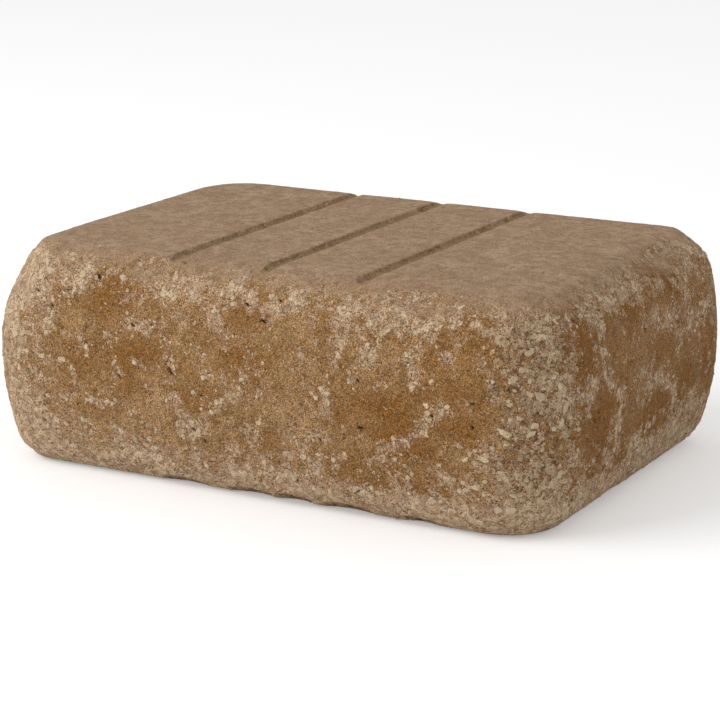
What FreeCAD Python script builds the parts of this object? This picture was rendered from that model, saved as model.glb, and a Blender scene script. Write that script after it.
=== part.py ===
import FreeCAD, Part
import math
import os

import Sketcher

# Tumbled concrete retaining wall block: one solid, cast in a straight mould and then rolled in a drum.
# The drum leaves sides that swell at half height and run over rounded rims into the flat bed and top,
# upright corners that each wore differently, and bites broken out of the rims and corners.
# Three shallow grooves for adhesive run across the top from the face to the back.
# Frame: X along the length, Y from the face (-Y) to the back, Z up, origin in the middle of the bed.

SIZES = {
    # overall size, at the widest place
    "block_length": 286.0,
    "block_depth": 205.0,
    "block_height": 102.0,
    # how far a side stands out at half height, past where it would meet the bed and the top
    "side_swell": 9.5,
    # how much of each edge the drum wore off
    "top_rim_radius": 23.0,
    "low_rim_radius": 16.0,
    # radius of each corner of the flat top, inside the rim, left and right as seen from the face
    "crown_front_left": 3.5,
    "crown_front_right": 11.5,
    "crown_back_right": 1.5,
    "crown_back_left": 18.0,
    # adhesive grooves in the top
    "groove_count": 3.0,
    "groove_pitch": 46.0,
    "groove_mouth": 6.0,
    "groove_sink": 2.6,
    "groove_floor_radius": 1.9,
    # how steeply a blow came in on a rim, in degrees from the level
    "top_bite_slant": 50.0,
    "low_bite_slant": 62.0,
}

# Bites along the rims: rim, place along it from its middle, half of its length, depth
RIM_BITES = {
    "bite_face_low_one": ("low_front", -41.0, 12.0, 1.6),
    "bite_face_low_two": ("low_front", -6.0, 11.0, 1.9),
    "bite_face_low_three": ("low_front", 15.0, 9.0, 2.6),
    "bite_face_low_four": ("low_front", 41.0, 13.0, 2.0),
    "bite_face_low_five": ("low_front", 75.0, 9.0, 1.8),
    "bite_face_top_left": ("top_front", -57.0, 12.0, 1.8),
    "bite_face_top_right": ("top_front", 78.0, 15.0, 1.6),
    "bite_end_top": ("top_right", 38.0, 18.0, 2.4),
    "bite_end_low": ("low_right", -18.0, 14.0, 2.0),
    "bite_back_top": ("top_back", -40.0, 22.0, 2.6),
    "bite_back_low": ("low_back", 50.0, 17.0, 2.4),
    "bite_left_top": ("top_left", 12.0, 14.0, 2.0),
    "bite_left_low": ("low_left", -20.0, 15.0, 2.0),
}
# Worn corners: corner, half length, depth, and how steeply the wear came in, in degrees from the level
CORNER_BITES = {
    "wear_front_left": ("top_front_left", 70.0, 7.5, 30.0),
    "wear_back_right": ("top_back_right", 22.0, 2.4, 50.0),
    "wear_back_left": ("low_back_left", 20.0, 2.4, 62.0),
}

# Each side of the footprint: its name, whether it runs along X, its sign across, and its two corners
SIDES = [
    ("front", True, -1, "front_right", "front_left"),
    ("back", True, 1, "back_right", "back_left"),
    ("left", False, -1, "front_left", "back_left"),
    ("right", False, 1, "front_right", "back_right"),
]
# Each corner's signs along X and Y
CORNERS = {
    "front_left": (-1, -1),
    "front_right": (1, -1),
    "back_right": (1, 1),
    "back_left": (-1, 1),
}

# Angles, in degrees
QUARTER_TURN = 90
HALF_TURN = 180

doc = FreeCAD.newDocument("retaining_wall_block")
sheet = doc.addObject("Spreadsheet::Sheet", "sizes")


def fill_sheet():
    """One cell with an alias for each driving dimension."""
    cells = dict(SIZES)
    for name, (_, place, reach, depth) in RIM_BITES.items():
        cells.update({name + "_place": place, name + "_reach": reach, name + "_depth": depth})
    for name, (_, reach, depth, slant) in CORNER_BITES.items():
        cells.update({name + "_reach": reach, name + "_depth": depth, name + "_slant": slant})
    for row, (name, value) in enumerate(cells.items(), start=1):
        sheet.set(f"A{row}", name)
        sheet.set(f"B{row}", str(value))
        sheet.setAlias(f"B{row}", name)
    doc.recompute()


def value(formula):
    """The number that a formula over the sheet's cells gives now."""
    return float(sheet.evalExpression(formula))


# Formulas that several features share

HALF_LENGTH = "(sizes.block_length / 2)"
HALF_DEPTH = "(sizes.block_depth / 2)"
HALF_HEIGHT = "(sizes.block_height / 2)"
# radius of the arc that a swelling side follows from the bed to the top
SIDE_RADIUS = f"(({HALF_HEIGHT} ^ 2 + sizes.side_swell ^ 2) / (2 * sizes.side_swell))"


def rim_inset(level):
    """How far the centre of a rim's rounding lies inside the block's widest line."""
    radius = f"sizes.{level}_rim_radius"
    return f"({SIDE_RADIUS} - sqrt(({SIDE_RADIUS} - {radius}) ^ 2 - ({HALF_HEIGHT} - {radius}) ^ 2))"


def corner_radius(corner):
    """Radius of an upright corner at half height: the corner of the flat top and the rim around it."""
    return f"(sizes.crown_{corner} + {rim_inset('top')})"


def corner_axis(corner, along_x):
    """Distance from the middle of the block to a corner's upright axis, along X or along Y."""
    half = HALF_LENGTH if along_x else HALF_DEPTH
    return f"({half} - {corner_radius(corner)})"


# Sketches


def origin_part(body, role):
    """A plane or an axis of the body's own origin."""
    return next(part for part in body.Origin.OriginFeatures if part.Role == role)


def new_sketch(body, name, role):
    sketch = body.newObject("Sketcher::SketchObject", name)
    sketch.AttachmentSupport = [(origin_part(body, role), "")]
    sketch.MapMode = "FlatFace"
    return sketch


def flat(across, up):
    return FreeCAD.Vector(across, up, 0)


def add_line(sketch, start, end):
    return sketch.addGeometry(Part.LineSegment(start, end), False)


def add_arc(sketch, centre, radius, start, end):
    """An arc from one angle to a larger one, in degrees."""
    circle = Part.Circle(centre, FreeCAD.Vector(0, 0, 1), radius)
    return sketch.addGeometry(Part.ArcOfCircle(circle, math.radians(start), math.radians(end)), False)


def drive(sketch, name, kind, where, formula):
    """A named dimension of the sketch, bound to the sheet by a formula."""
    index = sketch.addConstraint(Sketcher.Constraint(kind, *where, value(formula)))
    sketch.renameConstraint(index, name)
    sketch.setExpression("Constraints." + name, formula)


def side_section(body, name, role, sign, reach):
    """Upright section of one side, from the bed over the low rim, the swelling side and the top rim.

    It spans from the sketch's own upright axis out to a reach, towards positive or negative.
    """
    sketch = new_sketch(body, name, role)
    height = value("sizes.block_height")
    side = value(SIDE_RADIUS)
    bulge = flat(sign * (value(reach) - side), height / 2)
    low, top = value("sizes.low_rim_radius"), value("sizes.top_rim_radius")
    low_middle = flat(sign * (value(reach) - value(rim_inset("low"))), low)
    top_middle = flat(sign * (value(reach) - value(rim_inset("top"))), height - top)
    outward = 0 if sign > 0 else HALF_TURN
    fall = sign * math.degrees(math.asin((height / 2 - low) / (side - low)))
    rise = sign * math.degrees(math.asin((height / 2 - top) / (side - top)))
    upward = QUARTER_TURN
    downward = outward - sign * QUARTER_TURN

    def swept(middle, radius, first, last):
        """An arc between two angles, and which of its ends is the first."""
        arc = add_arc(sketch, middle, radius, min(first, last), max(first, last))
        return arc, (1, 2) if first < last else (2, 1)

    bed = add_line(sketch, flat(0, 0), low_middle - flat(0, low))
    low_rim, low_ends = swept(low_middle, low, downward, outward - fall)
    swell, swell_ends = swept(bulge, side, outward - fall, outward + rise)
    top_rim, top_ends = swept(top_middle, top, outward + rise, upward)
    crown = add_line(sketch, top_middle + flat(0, top), flat(0, height))
    axis = add_line(sketch, flat(0, height), flat(0, 0))
    joins = [
        ("Tangent", bed, 2, low_rim, low_ends[0]),
        ("Tangent", low_rim, low_ends[1], swell, swell_ends[0]),
        ("Tangent", swell, swell_ends[1], top_rim, top_ends[0]),
        ("Tangent", top_rim, top_ends[1], crown, 1),
        ("Coincident", crown, 2, axis, 1),
        ("Coincident", axis, 2, bed, 1),
        ("Coincident", bed, 1, -1, 1),
        ("PointOnObject", axis, 1, -2),
        ("Horizontal", bed),
        ("Horizontal", crown),
    ]
    for kind, *where in joins:
        sketch.addConstraint(Sketcher.Constraint(kind, *where))
    drive(sketch, "height", "DistanceY", (axis, 2, axis, 1), "sizes.block_height")
    drive(sketch, "half_height", "DistanceY", (-1, 1, swell, 3), HALF_HEIGHT)
    drive(sketch, "swell_centre", "DistanceX", (-1, 1, swell, 3), f"{sign} * ({reach} - {SIDE_RADIUS})")
    drive(sketch, "side_radius", "Radius", (swell,), SIDE_RADIUS)
    drive(sketch, "low_rim", "Radius", (low_rim,), "sizes.low_rim_radius")
    drive(sketch, "top_rim", "Radius", (top_rim,), "sizes.top_rim_radius")
    return sketch


# Block


def add_wall(body, side):
    """One straight side: its section pushed out both ways from the middle, up to the corners' axes."""
    name, along_x, sign, ahead, behind = side
    role, reach = ("YZ_Plane", HALF_DEPTH) if along_x else ("XZ_Plane", HALF_LENGTH)
    wall = body.newObject("PartDesign::Pad", name + "_side")
    wall.Profile = side_section(body, name + "_section", role, sign, reach)
    wall.SideType = "Two sides"
    wall.setExpression("Length", corner_axis(ahead, along_x))
    wall.setExpression("Length2", corner_axis(behind, along_x))
    body.Tip = wall
    doc.recompute()


def add_corner(body, corner):
    """One upright corner: the same section turned a quarter about the corner's axis."""
    sign_x, sign_y = CORNERS[corner]
    sketch = side_section(body, corner + "_section", "XZ_Plane", sign_x, corner_radius(corner))
    sketch.setExpression("AttachmentOffset.Base.x", f"{sign_x} * {corner_axis(corner, True)}")
    sketch.setExpression("AttachmentOffset.Base.z", f"{-sign_y} * {corner_axis(corner, False)}")
    turned = body.newObject("PartDesign::Revolution", corner + "_corner")
    turned.Profile = sketch
    turned.ReferenceAxis = (sketch, ["V_Axis"])
    turned.Angle = QUARTER_TURN
    turned.Reversed = sign_x * sign_y < 0
    body.Tip = turned
    doc.recompute()


# Grooves


def groove_section(body):
    """One groove seen from the face: straight walls that lean in to a round floor."""
    sketch = new_sketch(body, "groove_section", "XZ_Plane")
    brim = value("sizes.block_height")
    half = value("sizes.groove_mouth") / 2
    radius = value("sizes.groove_floor_radius")
    middle = flat(0, brim - value("sizes.groove_sink") + radius)
    left = add_line(sketch, flat(-half, brim), middle - flat(radius, 0))
    floor = add_arc(sketch, middle, radius, HALF_TURN, 2 * HALF_TURN)
    right = add_line(sketch, middle + flat(radius, 0), flat(half, brim))
    mouth = add_line(sketch, flat(half, brim), flat(-half, brim))
    joins = [
        ("Tangent", left, 2, floor, 1),
        ("Tangent", floor, 2, right, 1),
        ("Coincident", right, 2, mouth, 1),
        ("Coincident", mouth, 2, left, 1),
        ("Symmetric", mouth, 1, mouth, 2, -2),
        ("PointOnObject", floor, 3, -2),
    ]
    for kind, *where in joins:
        sketch.addConstraint(Sketcher.Constraint(kind, *where))
    drive(sketch, "brim", "DistanceY", (-1, 1, mouth, 1), "sizes.block_height")
    drive(sketch, "mouth_width", "DistanceX", (mouth, 2, mouth, 1), "sizes.groove_mouth")
    drive(sketch, "floor_radius", "Radius", (floor,), "sizes.groove_floor_radius")
    drive(sketch, "floor_centre", "DistanceY", (-1, 1, floor, 3),
          "sizes.block_height - sizes.groove_sink + sizes.groove_floor_radius")
    sketch.setExpression("AttachmentOffset.Base.x", "-sizes.groove_pitch * (sizes.groove_count - 1) / 2")
    return sketch


def cut_grooves(body):
    """The leftmost groove, and its copies to the right."""
    first = body.newObject("PartDesign::Pocket", "first_groove")
    first.Profile = groove_section(body)
    first.SideType = "Symmetric"
    first.Type = "ThroughAll"
    doc.recompute()
    row = body.newObject("PartDesign::LinearPattern", "grooves")
    row.Originals = [first]
    row.Direction = (origin_part(body, "X_Axis"), [""])
    row.setExpression("Length", "sizes.groove_pitch * (sizes.groove_count - 1)")
    row.setExpression("Occurrences", "sizes.groove_count")
    body.Tip = row
    doc.recompute()


# Bites


def cut_bite(body, name, level, steepness, along_x, along_y):
    """A shallow round hollow in a rim: a large sphere that stands off it and dips in by the bite's depth.

    steepness names the size that says how far up or down from the level the sphere comes in.
    along_x and along_y each give where the middle of the rim's rounding lies, and which way the rim faces.
    """
    radius = f"((sizes.{name}_reach ^ 2 + sizes.{name}_depth ^ 2) / (2 * sizes.{name}_depth))"
    stand_off = f"(sizes.{level}_rim_radius - sizes.{name}_depth + {radius})"
    (x, facing_x), (y, facing_y) = along_x, along_y
    slant = f"(sizes.{steepness} * 1 deg)"
    outward = f"{stand_off} * cos{slant}"
    upward = f"{stand_off} * sin{slant}"
    bite = body.newObject("PartDesign::SubtractiveSphere", name)
    bite.setExpression("Radius", radius)
    bite.setExpression("Placement.Base.x", f"{x} + {facing_x} * {outward}")
    bite.setExpression("Placement.Base.y", f"{y} + {facing_y} * {outward}")
    if level == "top":
        height = f"sizes.block_height - sizes.top_rim_radius + {upward}"
    else:
        height = f"sizes.low_rim_radius - {upward}"
    bite.setExpression("Placement.Base.z", height)
    body.Tip = bite
    doc.recompute()


def bite_rim(body, name):
    """A bite out of the straight stretch of a rim."""
    level, side_name = RIM_BITES[name][0].split("_")
    _, along_x, sign, *_ = next(side for side in SIDES if side[0] == side_name)
    half = HALF_DEPTH if along_x else HALF_LENGTH
    out = (f"{sign} * ({half} - {rim_inset(level)})", sign)
    along = (f"sizes.{name}_place", 0)
    across = (along, out) if along_x else (out, along)
    cut_bite(body, name, level, level + "_bite_slant", *across)


def wear_corner(body, name):
    """A bite out of a rim at an upright corner, aimed halfway between the corner's two sides."""
    level, corner = CORNER_BITES[name][0].split("_", 1)
    diagonal = math.sqrt(0.5)
    across = []
    for along_x, sign in zip((True, False), CORNERS[corner]):
        drum = f"({corner_radius(corner)} - {rim_inset(level)})"
        out = f"{sign} * ({corner_axis(corner, along_x)} + {diagonal} * {drum})"
        across.append((out, sign * diagonal))
    cut_bite(body, name, level, name + "_slant", *across)


def wall_block():
    """The whole block: sides and corners, then the grooves, then the bites."""
    body = doc.addObject("PartDesign::Body", "wall_block")
    body.Label = "wall_block"
    for side in SIDES:
        add_wall(body, side)
    for corner in CORNERS:
        add_corner(body, corner)
    cut_grooves(body)
    for name in RIM_BITES:
        bite_rim(body, name)
    for name in CORNER_BITES:
        wear_corner(body, name)
    return body


def check(body):
    """Stops on an object that failed to rebuild, and on a cut that took nothing off."""
    for thing in doc.Objects:
        if {"Invalid", "Error"} & set(thing.State):
            raise RuntimeError(f"{thing.Label} did not rebuild: {thing.State}")
    cuts = ("PartDesign::Pocket", "PartDesign::LinearPattern", "PartDesign::SubtractiveSphere")
    solids = [feature for feature in body.Group if feature.TypeId.startswith("PartDesign::")]
    for before, feature in zip(solids, solids[1:]):
        if feature.TypeId in cuts and feature.Shape.Volume >= before.Shape.Volume:
            raise RuntimeError(f"{feature.Label} cut nothing")
    if body.Shape.isNull() or not body.Shape.isValid() or len(body.Shape.Solids) != 1:
        raise RuntimeError(f"{body.Label} is not one valid solid")


def write(piece):
    """Writes one finished solid to its own file."""
    os.makedirs("parts", exist_ok=True)
    piece.Shape.exportStep(f"parts/{piece.Label}.step")
    box = piece.Shape.optimalBoundingBox(False)
    print(f"{piece.Label}: {box.XLength:.1f} x {box.YLength:.1f} x {box.ZLength:.1f} mm,"
          f" {piece.Shape.Volume / 1000:.0f} cm3, {len(piece.Shape.Faces)} faces")


fill_sheet()
block = wall_block()
check(block)
write(block)
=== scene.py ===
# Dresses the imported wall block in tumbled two-tone concrete, and sets it on a pale floor in soft light
import math
from collections import namedtuple
from types import SimpleNamespace

import bmesh
import bpy
import numpy as np
from mathutils import Matrix, Vector
from mathutils.bvhtree import BVHTree
from mathutils.kdtree import KDTree
from numpy.random import default_rng


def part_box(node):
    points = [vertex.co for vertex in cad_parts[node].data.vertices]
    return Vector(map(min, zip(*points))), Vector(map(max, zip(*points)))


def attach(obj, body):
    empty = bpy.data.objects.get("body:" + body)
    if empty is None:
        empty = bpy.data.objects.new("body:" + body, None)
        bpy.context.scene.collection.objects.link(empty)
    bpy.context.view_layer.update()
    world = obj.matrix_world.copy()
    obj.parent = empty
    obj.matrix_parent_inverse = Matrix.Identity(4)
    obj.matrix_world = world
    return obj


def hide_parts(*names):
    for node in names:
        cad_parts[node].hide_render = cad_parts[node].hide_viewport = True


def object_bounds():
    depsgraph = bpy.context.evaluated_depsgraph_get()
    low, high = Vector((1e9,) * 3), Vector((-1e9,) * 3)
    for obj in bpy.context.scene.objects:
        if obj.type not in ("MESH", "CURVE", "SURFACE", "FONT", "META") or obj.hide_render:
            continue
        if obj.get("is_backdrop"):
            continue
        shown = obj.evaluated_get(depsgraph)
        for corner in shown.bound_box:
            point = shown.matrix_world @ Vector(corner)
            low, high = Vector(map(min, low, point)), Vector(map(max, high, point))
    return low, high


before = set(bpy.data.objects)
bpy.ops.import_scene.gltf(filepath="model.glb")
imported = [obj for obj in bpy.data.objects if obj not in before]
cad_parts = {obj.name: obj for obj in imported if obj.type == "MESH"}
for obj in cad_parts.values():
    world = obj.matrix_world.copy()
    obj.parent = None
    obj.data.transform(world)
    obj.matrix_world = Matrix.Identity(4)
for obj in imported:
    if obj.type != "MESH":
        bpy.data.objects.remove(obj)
cad_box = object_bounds()

NODE = "wall_block"
BODY = "root"
MM = 0.001
SEED = 20
PIT_SEED = SEED + 100
HOLE_SEED = SEED + 150
STONE_SEED = SEED + 200

# Camera, set to the photograph's own view
IMAGE_SIDE = 720
CAMERA_PLACE = (0.52752, -0.96083, 0.33117)
CAMERA_YAW = 0.5028
CAMERA_DIP = 0.2582
SENSOR_WIDTH = 36.0
FOCAL_LENGTH = 123.40
EYE = Vector(CAMERA_PLACE)
EYE_RIGHT = Matrix.Rotation(CAMERA_YAW, 3, "Z") @ Vector((1, 0, 0))

# Floor and light
FLOOR_HALF = 4.0
FLOOR_DROP = 0.00005
FLOOR_COLOUR = (0.86, 0.86, 0.86, 1.0)
FLOOR_GLOW = 0.30
WHITE = (1.0, 1.0, 1.0, 1.0)
SKY_LIGHT = 0.65
SKY_SEEN = 1.0
LAMP_PLACE = (-1.05, -1.20, 1.25)
LAMP_TARGET = (0.0, 0.0, 0.05)
LAMP_SIZE = 1.3
LAMP_POWER = 19.9

# The block in millimetres, read from its box
LOW_CORNER, HIGH_CORNER = [np.array(corner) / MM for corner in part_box(NODE)]
HALF_LENGTH, HALF_DEPTH, BLOCK_TOP = HIGH_CORNER
WORN_CORNER = np.array([*LOW_CORNER[:2], BLOCK_TOP])
GROOVE_COUNT = 3
GROOVE_PITCH = 46.0
GROOVE_MOUTH = 6.0
GROOVE_EDGE = (-0.54, -0.28)
GROOVE_RISE = (-6.5, -3.5)
LIP_REACH = (-11.0, -3.0)
LIP_INNER = (1.0, 2.8)
LIP_RUN = (-26.0, -10.0)

# Mesh
VOXEL = 1.05
SMOOTH_PASSES = 3
SMOOTH_SHARE = 0.5
BROAD_PASSES = 6
RUB_PASSES = 60
RUB_REACH = 62.0
RUB_FADE = 0.7
SHELL_TRIANGLES = 165000

# Repeatable noise: whole numbers that mix up a cell's place, and how the result is spread
HASH_AXES = (73856093, 19349663, 83492791)
HASH_SEED = 2654435761
HASH_FIRST = 0x9E3779B97F4A7C15
HASH_SECOND = 0xBF58476D1CE4E5B9
HASH_SHIFTS = (29, 32)
HASH_BITS = 16
NOISE_START = 1000.0
NOISE_STRIDE = 17.31
NOISE_SPREAD = 4.0

# Noises over the block: size in millimetres, seed, layers and how fast the layers weaken
WARP_NOISES = [(7.0, SEED + 10 + axis * 3, 3, 0.6) for axis in range(3)]
WARP_REACH = 1.6
BROAD_NOISE = (26.0, SEED + 30, 3, 0.5)
SPECK_NOISE = (8.0, SEED + 40, 4, 0.7)
SMALL_NOISE = (4.6, SEED + 45, 3, 0.7)
STAIN_NOISE = (20.0, SEED + 60, 2)
WAVE_NOISE = (42.0, SEED + 70, 2)
LUMP_NOISE = (13.0, SEED + 73, 3, 0.6)
CHIP_NOISE = (15.0, SEED + 80, 3, 0.6)
GRAIN_NOISE = (3.6, SEED + 90, 2, 0.7)
SAND_NOISE = (1.9, SEED + 95)

# What part of the block a point is on: where a measure of its normal or place starts and ends counting
SIDE_EDGE = (0.45, 0.75)
CROWN_EDGE = (0.60, 0.94)
BED_EDGE = (0.80, 0.98)
SHOULDER_EDGE = (0.10, 0.50)
RIM_EDGE = (0.05, 0.22)
CORNER_EDGE = (0.05, 0.60)
UPRIGHT_EDGE = (0.5, 0.9)
CORNER_RISE = (8.0, 40.0)
LOW_EDGE = (-20.0, -7.0)
# where the skin starts to thin towards the bottom: partly wear, partly painted light bounced up from the
# floor
FOOT_WEAR_AND_PAINTED_BOUNCE_EDGE = (-46.0, -12.0)
LEFT_END = (-52.0, -20.0)
TOP_STIR = 0.05
CORNER_STIR = 0.06
LOW_STIR = 2.0
LEFT_STIR = 4.0
LEFT_SIDE_SHARE = 0.15
STONY_CORNER = 0.30
STONY_LOW = 0.7
STONY_SHOULDER = 0.22
STONY_SPECK = 0.3
CORNER_SPECK = 0.25

# The ochre skin: its thickness, what stirs it, and what thins it
SKIN_LEVEL = 0.74
SKIN_SPECK = 0.42
SKIN_SMALL = 0.46
SKIN_BROAD = 0.24
SKIN_STAIN = 0.50
SKIN_LIMIT = 2.5
THIN_VEIN = 1.25
THIN_VEIN_LEAST = 0.35
THIN_VEIN_EDGE = (-0.9, 0.5)
THIN_STONY = 0.95
THIN_SHOULDER = 0.66
THIN_RIGHT = 0.20
# the skin thins low down, so the bottom is paler: partly wear, partly painted light bounced from the floor
THIN_LOW_WEAR_AND_PAINTED_BOUNCE = 0.65
THIN_LEFT = 1.55
STAIN_STIR = 0.18
STAIN_RIGHT = 0.36
VEIN_FADE = 1.5
STAIN_FADE = 0.7

# How deep the surface is worn, in millimetres
EVEN_WEAR = 0.12
WAVE_MIDDLE = 0.5
WAVE_SWING = 0.35
WAVE_SIDE = 0.25
WAVE_TOP = 0.10
LUMP_WEAR = 0.14
BARE_WEAR = 0.16
BARE_EDGE = (-0.25, 0.25)
RIM_WEAR = 0.15
CHIP_WEAR = 0.7
CHIP_START = 0.6
STONY_WEAR = 0.22
LIP_WEAR = 0.9
GRAIN_WEAR = 0.04
GRAIN_SIDE = 0.05
SAND_WEAR = 0.02
SAND_SIDE = 0.03
LEAST_WEAR = 0.02
BED_SHELTER = 0.9

# Pits and small holes, in millimetres
PIT_COUNT = 1500
PIT_RADIUS = (1.3, 2.6)
PIT_DEPTH = (0.3, 0.9)
PIT_SIDE = 0.5
PIT_STONY = 0.8
PIT_TOP = 0.10
HOLE_COUNT = 90
HOLE_MARGIN = 1.2
HOLE_EDGE = (-1.5, -0.6)
HOLE_CUTS = 2
HOLE_TURN = (-50, 16)
HOLE_LENGTH = (1.4, 3.0)
HOLE_SLIMNESS = (0.16, 0.30)
HOLE_DEPTH = (0.9, 1.7)
HOLE_TOP_GAP = 8.0
HOLE_FRONT = -0.4
HOLE_FRONT_SHARE = 0.35
SEEN_HOLE_SLIMNESS = 0.20
SEEN_HOLE_DEPTH = 1.6
Hole = namedtuple("Hole", "place normal along half_length half_width depth")

# Stones, flakes and crumbs as closed pieces sunk in the surface, in millimetres
STONE_COUNT = 470
STONE_SINK = 0.9
STONE_WAIST = 0.05
STONE_RISE = 0.22
STONE_FOOT = 0.9
STONE_SIDES = (5, 8)
STONE_SKEW = 0.32
STONE_REACH = (0.72, 1.16)
STONE_HEIGHT = (0.5, 1.0)
STONE_SLANT = (0.68, 0.84)
STONE_SIZE = (0.70, 0.45)
STONE_LIMITS = (1.1, 6.5)
STONE_SLIMNESS = (0.45, 0.9)
STONE_TINT = (0.1, 1.0)
SEEN_TINT = (0.0, 0.35)
STONY_POWER = 1.5
STRAY_STONES = 0.05
STRAY_SKIN = -0.4
SHOULDER_LESS = 0.75
HIGH_LESS = 0.6
HIGH_EDGE = (-30.0, -16.0)
BOX_MARGIN = 0.05
FLAKE_STEP = 1.9
FLAKE_SHARE = 0.80
FLAKE_SCATTER = 0.42
FLAKE_SIZE = (0.45, 0.42)
FLAKE_LIMITS = (0.8, 3.6)
FLAKE_SLIMNESS = (0.45, 0.95)
FLAKE_TINT = (0.0, 0.6)
CRUMB_COUNT = 1300
CRUMB_LENGTH = (0.8, 2.0)
CRUMB_SLIMNESS = (0.5, 0.95)
CRUMB_TINT = (0.0, 0.9)
CRUMB_LEAST = 0.15
CRUMB_EDGE = (-0.8, 0.4)
RAY_START = 30.0

# Veins and stains on the sides that the photograph doesn't show, in millimetres
VEIN_INSET = 16.0
VEIN_HEIGHTS = (10.0, -6.0)
VEIN_PARTS = (1, 5)
VEIN_BEND = 0.6
VEIN_STEP = (6.0, 12.0)
VEIN_WIDTH = (2.4, 4.6)
BACK_VEIN_COUNT = 42
LEFT_VEIN_COUNT = 26
STAIN_INSET = 24.0
STAIN_HEIGHTS = (18.0, -12.0)
STAIN_WIDTH = (9.0, 18.0)
STAIN_HEIGHT = (6.0, 12.0)
STAIN_STRENGTH = (0.5, 1.0)
BACK_STAIN_COUNT = 20
LEFT_STAIN_COUNT = 12

# Pale veins of worn concrete on the front: width, and (x, z) points, in millimetres
FRONT_VEINS = [
    (4.5, [(-88, 99), (-86, 90), (-91, 84)]), (5.0, [(-116, 82), (-108, 83)]),
    (4.0, [(-106, 78), (-99, 72), (-103, 66)]),
    (3.6, [(-62, 77), (-66, 66), (-67, 58), (-68, 48), (-71, 41)]), (4.0, [(-58, 72), (-47, 75)]),
    (3.0, [(-85, 65), (-82, 58)]), (2.6, [(-95, 53), (-88, 47), (-86, 42)]),
    (5.0, [(-111, 28), (-104, 25), (-107, 18)]), (3.0, [(-91, 28), (-84, 27)]),
    (2.6, [(-84, 36), (-74, 38), (-68, 36)]), (3.0, [(-68, 25), (-70, 19)]),
    (3.6, [(-40, 62), (-36, 52)]), (3.8, [(-31, 67), (-24, 64), (-22, 58), (-17, 57)]),
    (4.0, [(-39, 45), (-35, 38), (-31, 30)]),
    (5.0, [(-1, 57), (-7, 50), (-13, 44), (-20, 37), (-26, 30), (-27, 20), (-28, 10)]),
    (3.4, [(-21, 85), (-15, 77), (-8, 70)]), (4.2, [(-12, 90), (-2, 88)]),
    (3.0, [(-25, 49), (-24, 42)]), (3.2, [(3, 37), (5, 29)]), (4.0, [(20, 33), (18, 22), (22, 10)]),
    (2.2, [(22, 31), (32, 35), (42, 40)]), (4.0, [(29, 17), (36, 26), (45, 28)]),
    (4.0, [(38, 48), (38, 60), (42, 72), (47, 81), (43, 91)]), (3.6, [(50, 66), (58, 73), (64, 84)]),
    (2.6, [(59, 60), (66, 62)]), (3.6, [(60, 100), (62, 90)]), (4.2, [(69, 92), (77, 98)]),
    (3.6, [(79, 90), (76, 79), (80, 69), (80, 62)]), (3.4, [(84, 91), (90, 94), (96, 99)]),
    (3.6, [(97, 61), (90, 53), (82, 43), (72, 38), (62, 35)]), (2.4, [(64, 31), (76, 30)]),
    (4.0, [(99, 45), (106, 38), (113, 40)]), (4.0, [(-62, 11), (-52, 17), (-44, 12)]),
    (3.0, [(-8, 12), (2, 10)]), (4.0, [(50, 12), (66, 13), (80, 12)]),
    (3.2, [(92, 30), (100, 22), (108, 24)]), (3.4, [(-36, 97), (-27, 93)]), (2.6, [(8, 92), (16, 86)]),
    (2.6, [(27, 60), (33, 54)]),
]
# The same on the right end, as (y, z) points
RIGHT_VEINS = [
    (4.0, [(-45, 97), (-46, 84), (-50, 74)]),
    (6.0, [(-90, 62), (-64, 61), (-50, 64), (-39, 58), (-32, 50)]),
    (5.0, [(-35, 44), (-30, 34), (-34, 26), (-41, 15)]),
    (5.5, [(-16, 27), (0, 22), (20, 20), (42, 18)]), (5.0, [(-2, 45), (10, 50), (21, 44), (31, 37)]),
    (5.0, [(11, 77), (22, 72), (31, 74)]), (5.0, [(40, 85), (46, 78), (44, 68), (56, 66), (70, 71)]),
    (4.0, [(35, 62), (29, 56)]), (4.5, [(54, 34), (62, 25)]), (4.0, [(-84, 98), (-84, 74), (-88, 66)]),
    (4.0, [(-72, 12), (-55, 15)]),
]
# Deeper orange stains: (x, z, half width, half height, strength) on the front
FRONT_STAINS = [
    (-77, 83, 15, 9, 1.0), (-61, 59, 10, 8, 1.0), (-83, 51, 12, 8, 0.9), (-57, 48, 12, 6, 0.7),
    (-27, 47, 10, 14, 0.6), (-31, 57, 8, 5, 0.9), (-5, 65, 11, 6, 1.0), (2, 84, 10, 7, 0.7),
    (-8, 30, 13, 9, 0.6), (9, 25, 13, 10, 0.5), (50, 54, 12, 8, 0.9), (66, 53, 13, 8, 0.9),
    (70, 43, 18, 8, 1.0), (46, 26, 14, 7, 0.7), (62, 22, 14, 6, 0.6), (84, 60, 10, 7, 0.8),
    (97, 63, 12, 10, 1.0), (99, 51, 11, 9, 1.0), (83, 33, 12, 6, 0.8), (89, 24, 12, 6, 0.6),
    (102, 74, 12, 8, 0.7), (-93, 31, 24, 7, 0.3), (90, 78, 12, 9, 0.5), (66, 84, 8, 6, 0.5),
    (104, 88, 8, 8, 0.5),
]
# Paler tan patches of the same skin on the front, written as the stains are
FRONT_WASHES = [
    (20, 43, 10, 10, 0.80), (-56, 21, 18, 8, 0.60), (-25, 23, 13, 8, 0.65), (-88, 14, 20, 9, 0.80),
    (-50, 8, 30, 7, 0.60), (-25, 50, 9, 7, 0.50), (-40, 39, 12, 8, 0.55), (34, 22, 9, 7, 0.50),
    (-88, 42, 12, 8, 0.45), (-88, 78, 8, 8, 0.45), (22, 81, 13, 7, 0.45), (-10, 34, 9, 7, 0.45),
    (-8, 18, 24, 8, 0.35),
]
# The same on the right end, as (y, z, ...)
RIGHT_STAINS = [
    (-67, 83, 14, 10, 0.9), (-22, 85, 16, 8, 0.8), (28, 88, 15, 8, 0.8), (-56, 46, 13, 13, 0.9),
    (-50, 26, 14, 10, 0.8), (10, 33, 22, 7, 1.0), (2, 66, 14, 9, 0.4), (45, 42, 9, 8, 0.8),
    (66, 45, 9, 12, 0.5),
]
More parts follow.
